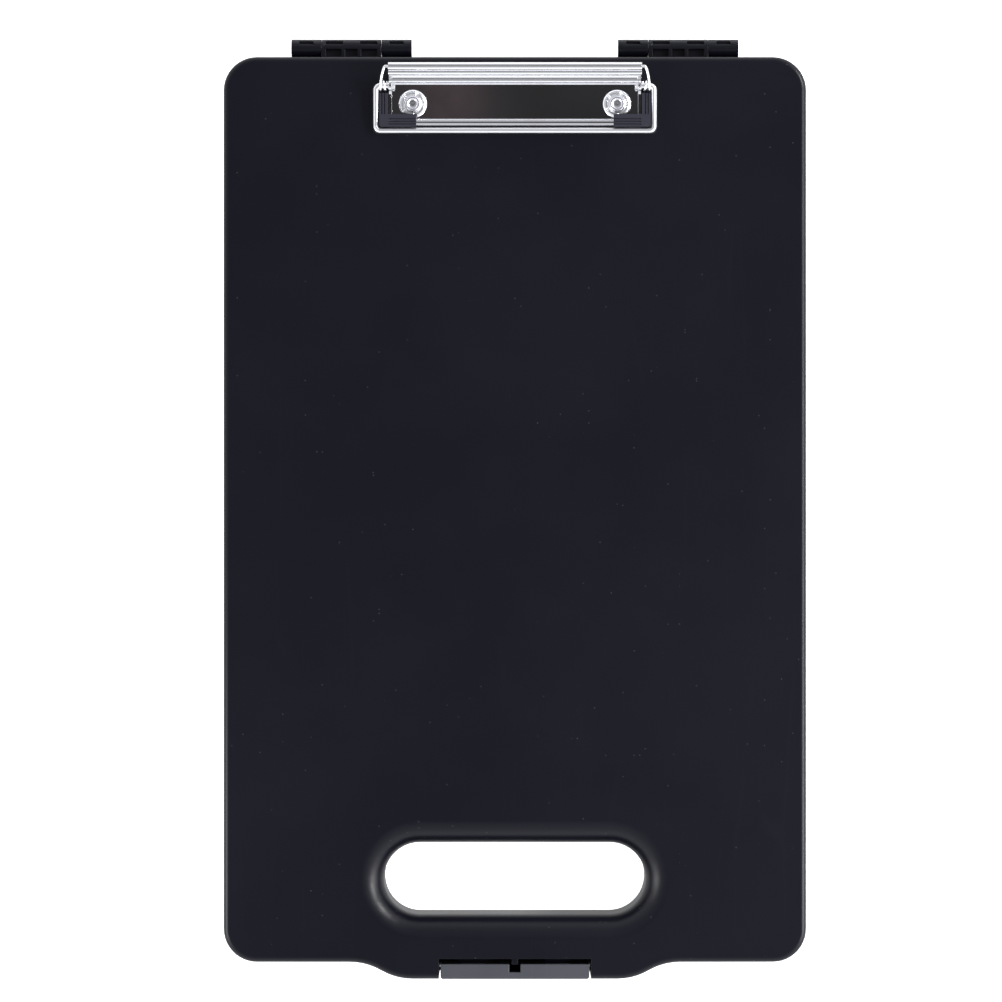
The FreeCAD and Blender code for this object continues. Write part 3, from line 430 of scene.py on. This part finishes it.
def make_plating():
    """Bright plating over drawn sheet: faint draw lines, haze and small pits."""
    tree, given, out = new_group("Plating", ["Height", "Roughness", "Stain"],
                                 line_scale=900, haze_scale=55, gloss=0.07, haze=0.06)
    lines = noise_at(tree, place_in(tree, LINE_STRETCH), given["Line Scale"], roughness=0.6)
    haze = noise_at(tree, place_in(tree), given["Haze Scale"], detail=4, roughness=0.6)
    pits = ramp(tree, noise_at(tree, place_in(tree), PIT_SCALE, detail=1), *PIT_SPAN)
    height = maths(tree, "SUBTRACT", times(tree, lines, LINE_HEIGHT), times(tree, pits, PIT_DEPTH))
    rough = plus(tree, given["Gloss"], times(tree, haze, given["Haze"]))
    tree.links.new(height, out["Height"])
    tree.links.new(rough, out["Roughness"])
    tree.links.new(ramp(tree, haze, *STAIN_SPAN), out["Stain"])
    return tree


GRAIN = make_mould_grain()
HANDLING = make_handling()
PLATING = make_plating()


# Finishes

def new_material(name, **sockets):
    """A material with one Principled shader, whose named sockets are set."""
    material = bpy.data.materials.new(name)
    material.use_nodes = True
    tree = material.node_tree
    shader = next(node for node in tree.nodes if node.type == "BSDF_PRINCIPLED")
    for key, value in sockets.items():
        shader.inputs[label_of(key)].default_value = value
    return material, tree, shader


def dress(tree, shader, colour, roughness, height, depth, edge):
    """Join colour, roughness and a height of this depth, over soft edges, to the shader."""
    soft = add_node(tree, "ShaderNodeBevel", {"Radius": edge}, samples=EDGE_SAMPLES).outputs["Normal"]
    bump = add_node(tree, "ShaderNodeBump", {
        "Height": height, "Distance": depth, "Strength": 1.0, "Normal": soft}).outputs["Normal"]
    tree.links.new(colour, shader.inputs["Base Color"])
    tree.links.new(roughness, shader.inputs["Roughness"])
    tree.links.new(bump, shader.inputs["Normal"])


def moulded_plastic(name, colour, worn, level, gloss, depth, scale, edge):
    """Moulded plastic: eroded grain, dull patches, hairlines and a little dust."""
    material, tree, shader = new_material(name, ior=1.49, specular_ior_level=level)
    grain = use_group(tree, GRAIN, gloss=gloss, grain_scale=scale)
    marks = use_group(tree, HANDLING)
    base = mixed(tree, times(tree, grain["Patch"], PATCH_SHARE), colour, worn)
    marked = mixed(tree, times(tree, marks["Scratches"], SCRATCH_SHARE), base, worn)
    dusty = mixed(tree, times(tree, marks["Specks"], DUST_SHARE), marked, DUST)
    dress(tree, shader, dusty, grain["Roughness"], grain["Height"], depth, edge)
    return material


def plated_metal(name, colour, stain, gloss, haze, depth):
    """Bright plated steel with draw lines and haze."""
    material, tree, shader = new_material(name, metallic=1.0)
    skin = use_group(tree, PLATING, gloss=gloss, haze=haze)
    marks = use_group(tree, HANDLING, scratch_scale=METAL_SCRATCH_SCALE)
    tint = mixed(tree, times(tree, skin["Stain"], STAIN_SHARE), colour, stain)
    rough = plus(tree, skin["Roughness"], times(tree, marks["Scratches"], SCRATCH_DULLS))
    dress(tree, shader, tint, rough, skin["Height"], depth, METAL_EDGE)
    return material


BOX = moulded_plastic("BoxPlastic", BOX_BLACK, BOX_DUSTY, level=0.27, gloss=0.33,
                      depth=0.016 * MM, scale=2600, edge=BOX_EDGE)
LATCH = moulded_plastic("LatchPlastic", LATCH_GREY, LATCH_WORN, level=0.4, gloss=0.42,
                        depth=0.012 * MM, scale=3200, edge=BOX_EDGE)
PAD = moulded_plastic("GripPlastic", PAD_BLACK, PAD_WORN, level=0.3, gloss=0.55,
                      depth=0.02 * MM, scale=3000, edge=GRIP_EDGE)
SHEET = plated_metal("PlatedSheet", colour=(0.74, 0.74, 0.76, 1), stain=(0.66, 0.60, 0.60, 1),
                     gloss=0.03, haze=0.05, depth=0.001 * MM)
FOLDED = plated_metal("FoldedSheet", colour=(0.86, 0.86, 0.88, 1), stain=(0.76, 0.75, 0.77, 1),
                      gloss=0.2, haze=0.08, depth=0.002 * MM)
WIRE = plated_metal("PlatedWire", colour=(0.92, 0.92, 0.94, 1), stain=(0.84, 0.84, 0.86, 1),
                    gloss=0.3, haze=0.1, depth=0.002 * MM)
SPRING = plated_metal("SpringWire", colour=(0.92, 0.92, 0.94, 1), stain=(0.8, 0.8, 0.8, 1),
                      gloss=0.22, haze=0.1, depth=0.003 * MM)
RIVET = plated_metal("RivetSteel", colour=(0.86, 0.85, 0.9, 1), stain=(0.68, 0.67, 0.74, 1),
                     gloss=0.17, haze=0.12, depth=0.004 * MM)
WASHER = plated_metal("WasherSteel", colour=(0.92, 0.92, 0.94, 1), stain=(0.8, 0.8, 0.83, 1),
                      gloss=0.17, haze=0.12, depth=0.004 * MM)
PIN = plated_metal("PinSteel", colour=(0.5, 0.5, 0.52, 1), stain=(0.36, 0.36, 0.38, 1),
                   gloss=0.28, haze=0.2, depth=0.006 * MM)


# Wire and turned pieces

def new_geometry_tree(name, **inputs):
    """A geometry tree with a mesh and named inputs; gives the tree, what comes in and what goes out."""
    tree = bpy.data.node_groups.new(name, "GeometryNodeTree")
    tree.interface.new_socket("Geometry", in_out="INPUT", socket_type="NodeSocketGeometry")
    for key, kind in inputs.items():
        tree.interface.new_socket(label_of(key), in_out="INPUT", socket_type="NodeSocket" + kind)
    tree.interface.new_socket("Geometry", in_out="OUTPUT", socket_type="NodeSocketGeometry")
    return tree, tree.nodes.new("NodeGroupInput").outputs, tree.nodes.new("NodeGroupOutput").inputs


def rounded_route(tree, given, steps):
    """The mesh's chain of points as a curve, with its corners rounded in this many steps."""
    route = add_node(tree, "GeometryNodeMeshToCurve", {"Mesh": given["Geometry"]}).outputs[0]
    return add_node(tree, "GeometryNodeFilletCurve", {
        "Curve": route, "Count": steps, "Radius": given["Corner Radius"], "Limit Radius": True},
        mode="POLY").outputs[0]


def finish_tree(tree, geometry, material, out):
    """Smooth shading, real geometry and a material, as the last steps of every tree."""
    smooth = add_node(tree, "GeometryNodeSetShadeSmooth", {"Geometry": geometry}).outputs[0]
    real = add_node(tree, "GeometryNodeRealizeInstances", {"Geometry": smooth}).outputs[0]
    worn = add_node(tree, "GeometryNodeSetMaterial", {"Geometry": real, "Material": material}).outputs[0]
    tree.links.new(worn, out["Geometry"])


def make_bent_wire():
    """Round wire along a route, with its corners bent to a radius and its ends closed."""
    tree, given, out = new_geometry_tree("BentWire", wire_radius="Float", corner_radius="Float",
                                         corner_steps="Int", sides="Int", finish="Material")
    bent = rounded_route(tree, given, given["Corner Steps"])
    ring = add_node(tree, "GeometryNodeCurvePrimitiveCircle", {
        "Resolution": given["Sides"], "Radius": given["Wire Radius"]}, mode="RADIUS").outputs[0]
    swept = add_node(tree, "GeometryNodeCurveToMesh", {
        "Curve": bent, "Profile Curve": ring, "Fill Caps": True}).outputs[0]
    finish_tree(tree, swept, given["Finish"], out)
    return tree


def make_turned_ring():
    """A half section turned about the upright axis, with creases pressed across its outer slope."""
    tree, given, out = new_geometry_tree("TurnedRing", sides="Int", steps="Int", corner_radius="Float",
                                         creases="Float", crease_depth="Float", crease_from="Float",
                                         phase="Float", finish="Material")
    section = rounded_route(tree, given, TURNED_CORNER_STEPS)

    # A flat grid, one wide and centred, whose X becomes the way along the section and Y the turn
    grid = add_node(tree, "GeometryNodeMeshGrid", {
        "Size X": 1.0, "Size Y": 1.0, "Vertices X": given["Steps"],
        "Vertices Y": given["Sides"]}).outputs[0]
    flat = tree.nodes.new("GeometryNodeInputPosition").outputs[0]
    spot = add_node(tree, "ShaderNodeSeparateXYZ", {"Vector": flat}).outputs
    along = plus(tree, spot["X"], 0.5)
    turn = times(tree, plus(tree, spot["Y"], 0.5), math.tau)
    sample = add_node(tree, "GeometryNodeSampleCurve", {
        "Curves": section, "Factor": along}, mode="FACTOR").outputs["Position"]
    place = add_node(tree, "ShaderNodeSeparateXYZ", {"Vector": sample}).outputs

    # Creases are sharp valleys of a wave round the ring, where the section is far out and raised
    angle = plus(tree, times(tree, turn, given["Creases"]), given["Phase"])
    share = times(tree, plus(tree, maths(tree, "COSINE", angle), 1.0), 0.5)
    groove = maths(tree, "POWER", share, CREASE_SHARPNESS)
    outer = maths(tree, "GREATER_THAN", place["X"], given["Crease From"])
    raised = maths(tree, "GREATER_THAN", place["Z"], given["Crease Depth"])
    drop = times(tree, times(tree, groove, given["Crease Depth"]), times(tree, outer, raised))

    x = times(tree, place["X"], maths(tree, "COSINE", turn))
    y = times(tree, place["X"], maths(tree, "SINE", turn))
    z = maths(tree, "SUBTRACT", place["Z"], drop)
    turned = add_node(tree, "ShaderNodeCombineXYZ", {"X": x, "Y": y, "Z": z}).outputs[0]
    moved = add_node(tree, "GeometryNodeSetPosition", {"Geometry": grid, "Position": turned}).outputs[0]
    closed = add_node(tree, "GeometryNodeMergeByDistance", {
        "Geometry": moved, "Distance": MERGE}).outputs[0]
    finish_tree(tree, closed, given["Finish"], out)
    return tree


BENT_WIRE = make_bent_wire()
TURNED_RING = make_turned_ring()


def grown_piece(name, points, tree, place=(0, 0, 0), **values):
    """A chain of points that a geometry tree turns into a plain mesh piece, moved to its place."""
    mesh = bpy.data.meshes.new(name)
    edges = [(number, number + 1) for number in range(len(points) - 1)]
    mesh.from_pydata([tuple(point) for point in points], edges, [])
    piece = new_piece(name, mesh, values["finish"])
    modifier = piece.modifiers.new(tree.name, "NODES")
    modifier.node_group = tree
    sockets = {item.name: item.identifier for item in tree.interface.items_tree if item.in_out == "INPUT"}
    for key, value in values.items():
        modifier[sockets[label_of(key)]] = value
    apply_modifiers(piece)
    bm = bmesh.new()
    bm.from_mesh(piece.data)
    bmesh.ops.remove_doubles(bm, verts=bm.verts, dist=MERGE)
    bmesh.ops.recalc_face_normals(bm, faces=bm.faces)
    bmesh.ops.translate(bm, verts=bm.verts, vec=place)
    bm.to_mesh(piece.data)
    bm.free()
    piece.data.shade_smooth()
    piece.data.set_sharp_from_angle(angle=SMOOTH_BELOW)
    return piece


def turned_piece(name, section, node, **values):
    """A turned piece on the axis of its CAD node, with its heights above the plate."""
    low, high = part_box(node)
    points = [(radius * MM, 0, height * MM) for radius, height in section]
    return grown_piece(name, points, TURNED_RING, ((low.x + high.x) / 2, (low.y + high.y) / 2, PLATE_TOP),
                       sides=TURNED_SIDES, steps=TURNED_STEPS, **values)


def tilted(x, along, up, slope):
    """A spot of the jaw, from its place in the plane that slopes up from the pivot."""
    return Vector((x, PIVOT.y + along * math.cos(slope) - up * math.sin(slope),
                   PIVOT.z + along * math.sin(slope) + up * math.cos(slope)))


def wire_route():
    """The wire frame's centre line, from one end in the plate's ear round to the other."""
    low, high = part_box("clip_bail")
    half = high.x - WIRE_RADIUS
    run = PIVOT.y - low.y - WIRE_RADIUS
    fall = PIVOT.z - low.z - WIRE_RADIUS
    length, slope = math.hypot(run, fall), math.atan2(fall, run)
    flat = [(-WIRE_END, 0), (-half, 0), (-half, -length), (half, -length), (half, 0), (WIRE_END, 0)]
    return [tilted(x, along, 0, slope) for x, along in flat]


def coil_spot(turned):
    """A spot of the right spring's coil, this far round it."""
    left = COIL_SWEEP - turned
    return Vector((COIL_START + COIL_PITCH * turned / math.tau,
                   -COIL_RADIUS * math.sin(left), COIL_RADIUS * math.cos(left)))


def curve_spot(t, start, near, far, end):
    """A spot of the cubic curve from start to end, at share t of the way."""
    rest = 1 - t
    return start * rest ** 3 + near * 3 * t * rest ** 2 + far * 3 * t * t * rest + end * t ** 3


def spring_route(side):
    """The spring's centre line: tail, coil about the wire's end, and the arm that hooks into the roll."""
    coil = [coil_spot(COIL_SWEEP * step / COIL_STEPS) for step in range(COIL_STEPS + 1)]
    tail = coil[0] - (coil[1] - coil[0]).normalized() * TAIL_LENGTH
    start, mouth = coil[-1], Vector((ARM_MOUTH, ARM_REACH, 0))
    near, far = start + Vector((0, ARM_PULL_NEAR, 0)), mouth + Vector((ARM_PULL_FAR, 0, 0))
    arm = [curve_spot(step / ARM_STEPS, start, near, far, mouth) for step in range(1, ARM_STEPS + 1)]
    hook = mouth - Vector((ARM_HOOK, 0, 0))
    return [tilted(side * spot.x, spot.y, spot.z, LEVER_SLOPE) for spot in [tail] + coil + arm + [hook]]


# Box

def on_pocket_lip(spot):
    """The front lips of the pockets in the hinge knuckles."""
    return abs(spot.y - HINGE.y - LIP_BEHIND) < LIP_MATCH and spot.z > HINGE.z + LIP_ABOVE


def lengthen_knuckles(lid):
    """Bring the lid's knuckles as near to the base's knuckles as the moulded parts are."""
    for vertex in lid.data.vertices:
        side, reach = math.copysign(1, vertex.co.x), abs(vertex.co.x)
        for end, moved in KNUCKLE_ENDS:
            if abs(reach - end) < KNUCKLE_MATCH:
                vertex.co.x = side * moved


LID = moulded_copy("writing_lid", "lid_shell", BOX, LIP_BEND, on_pocket_lip)
lengthen_knuckles(LID)
stand_for(LID, "lid", "black_plastic", "lid_shell")
stand_for(moulded_copy("tray", "base_shell", BOX, LIP_BEND, on_pocket_lip),
          "base", "black_plastic", "base_shell")
stand_for(moulded_copy("catch", "latch", LATCH, LATCH_BEND, lambda spot: spot.z > LATCH_TOP),
          "latch", "grey_plastic", "latch")


# Clip

stand_for(moulded_copy("clip_plate", "clip_base_plate", SHEET, PLATE_BEND,
                       lambda spot: spot.z > PLATE_SKIN),
          "lid", "bright_plate", "clip_base_plate")
stand_for(moulded_copy("thumb_lever", "clip_lever", FOLDED), "clip_jaw", "bright_plate", "clip_lever")
stand_for(grown_piece("wire_frame", wire_route(), BENT_WIRE, wire_radius=WIRE_RADIUS,
                      corner_radius=WIRE_CORNER, corner_steps=WIRE_CORNER_STEPS, sides=WIRE_SIDES,
                      finish=WIRE),
          "clip_jaw", "bright_wire", "clip_bail")
for side, way in (("left", -1), ("right", 1)):
    stand_for(grown_piece(f"spring_{side}", spring_route(way), BENT_WIRE, wire_radius=SPRING_RADIUS,
                          corner_radius=SPRING_RADIUS, corner_steps=SPRING_CORNER_STEPS,
                          sides=SPRING_SIDES, finish=SPRING),
              "clip_jaw", "spring_steel", f"clip_spring_{side}")
    stand_for(moulded_copy(f"grip_{side}", f"corner_pad_{side}", PAD),
              "clip_jaw", "black_rubber", f"corner_pad_{side}")
    stand_for(turned_piece(f"washer_{side}", WASHER_SECTION, f"clip_washer_{side}",
                           corner_radius=WASHER_CORNER, finish=WASHER, **WASHER_CREASES),
              "lid", "rivet_steel", f"clip_washer_{side}")
    stand_for(turned_piece(f"rivet_{side}", RIVET_SECTION, f"clip_rivet_{side}",
                           corner_radius=RIVET_CORNER, finish=RIVET, **RIVET_CREASES),
              "lid", "rivet_steel", f"clip_rivet_{side}")
for node in PIN_NODES:
    give_finish(frame["nodes"][node].data, PIN)


# Studio

def make_floor():
    """A white table, which the camera sees as bright paper, and which is clear from below."""
    mesh = bpy.data.meshes.new("floor")
    corners = [(x * FLOOR_REACH, y * FLOOR_REACH, -FLOOR_DROP)
               for x, y in ((-1, -1), (1, -1), (1, 1), (-1, 1))]
    mesh.from_pydata(corners, [], [(0, 1, 2, 3)])
    material, tree, shader = new_material("PaleFloor", roughness=FLOOR_ROUGHNESS,
                                          base_color=FLOOR_COLOUR, emission_color=FLOOR_LIGHT)
    seen = tree.nodes.new("ShaderNodeLightPath").outputs["Is Camera Ray"]
    strength = plus(tree, times(tree, seen, FLOOR_SEEN), FLOOR_GLOW)
    tree.links.new(strength, shader.inputs["Emission Strength"])
    below = tree.nodes.new("ShaderNodeNewGeometry").outputs["Backfacing"]
    clear = tree.nodes.new("ShaderNodeBsdfTransparent").outputs["BSDF"]
    one_way = add_node(tree, "ShaderNodeMixShader", {
        0: below, 1: shader.outputs["BSDF"], 2: clear}).outputs[0]
    leave = next(node for node in tree.nodes if node.type == "OUTPUT_MATERIAL")
    tree.links.new(one_way, leave.inputs["Surface"])
    floor = new_piece("floor", mesh, material)


def make_light(name, azimuth, elevation, distance, width, height, radiance):
    """A soft panel that faces the object; azimuth is anticlockwise from +X."""
    panel = bpy.data.lights.new(name, "AREA")
    panel.shape = "RECTANGLE"
    panel.size = width
    panel.size_y = height
    panel.energy = radiance * math.pi * width * height
    light = bpy.data.objects.new(name, panel)
    bpy.context.scene.collection.objects.link(light)
    turn, rise = math.radians(azimuth), math.radians(elevation)
    towards = Vector((math.cos(turn) * math.cos(rise), math.sin(turn) * math.cos(rise), math.sin(rise)))
    light.location = towards * distance
    light.rotation_euler = towards.to_track_quat("Z", "Y").to_euler()


def make_surroundings():
    """A pale tent with a dim hole overhead, brightest low down, on the right, in front and behind."""
    world = bpy.data.worlds.new("Tent")
    bpy.context.scene.world = world
    world.use_nodes = True
    tree = world.node_tree
    background = next(node for node in tree.nodes if node.type == "BACKGROUND")
    direction = tree.nodes.new("ShaderNodeTexCoord").outputs["Generated"]
    parts = add_node(tree, "ShaderNodeSeparateXYZ", {"Vector": direction}).outputs

    def side_level(axis, span, level):
        """The light that comes in over a span of one axis."""
        return times(tree, ramp(tree, parts[axis], *span), level)

    tent = ramp(tree, parts["Z"], *TENT_SPAN)
    room = ramp(tree, noise_at(tree, direction, ROOM_SCALE), *ROOM_SPAN)
    gap = add_node(tree, "ShaderNodeVectorMath", {
        0: direction, 1: WARM_SPOT}, operation="DISTANCE").outputs["Value"]
    warm = ramp(tree, gap, *WARM_SPAN)
    dim = plus(tree, times(tree, room, TENT_ROOM), times(tree, warm, TENT_WARM))
    hole = plus(tree, dim, TENT_HOLE)
    to_right = side_level("X", RIGHT_SPAN, TENT_RIGHT)
    to_left = side_level("X", LEFT_SPAN, TENT_LEFT)
    to_front = side_level("Y", FRONT_SPAN, TENT_FRONT)
    low_back = side_level("Z", BACK_LOW_SPAN, TENT_BACK)
    to_back = side_level("Y", BACK_SPAN, low_back)
    sides = plus(tree, plus(tree, to_right, to_left), plus(tree, to_front, to_back))
    level = plus(tree, plus(tree, sides, TENT_LEVEL), side_level("Z", HORIZON_SPAN, TENT_HORIZON))
    lit = plus(tree, times(tree, level, tent), hole)
    tree.links.new(mixed(tree, warm, TENT_COLOUR, WARM_COLOUR), background.inputs["Color"])
    tree.links.new(lit, background.inputs["Strength"])


def make_camera():
    """A long lens straight above, set back until the face fills its share of the frame."""
    camera = bpy.data.objects.new("camera", bpy.data.cameras.new("camera"))
    bpy.context.scene.collection.objects.link(camera)
    camera.data.lens = LENS
    camera.data.sensor_width = SENSOR
    camera.data.clip_end = VIEW_REACH
    away = VIEW_WIDTH * LENS / SENSOR
    camera.location = (VIEW_CENTRE_X, VIEW_CENTRE_Y, FACE_HEIGHT + away)
    bpy.context.scene.camera = camera


make_floor()
make_surroundings()
for name, values in PANELS.items():
    make_light(name, *values)
make_camera()
bpy.context.scene.view_settings.view_transform = "Standard"
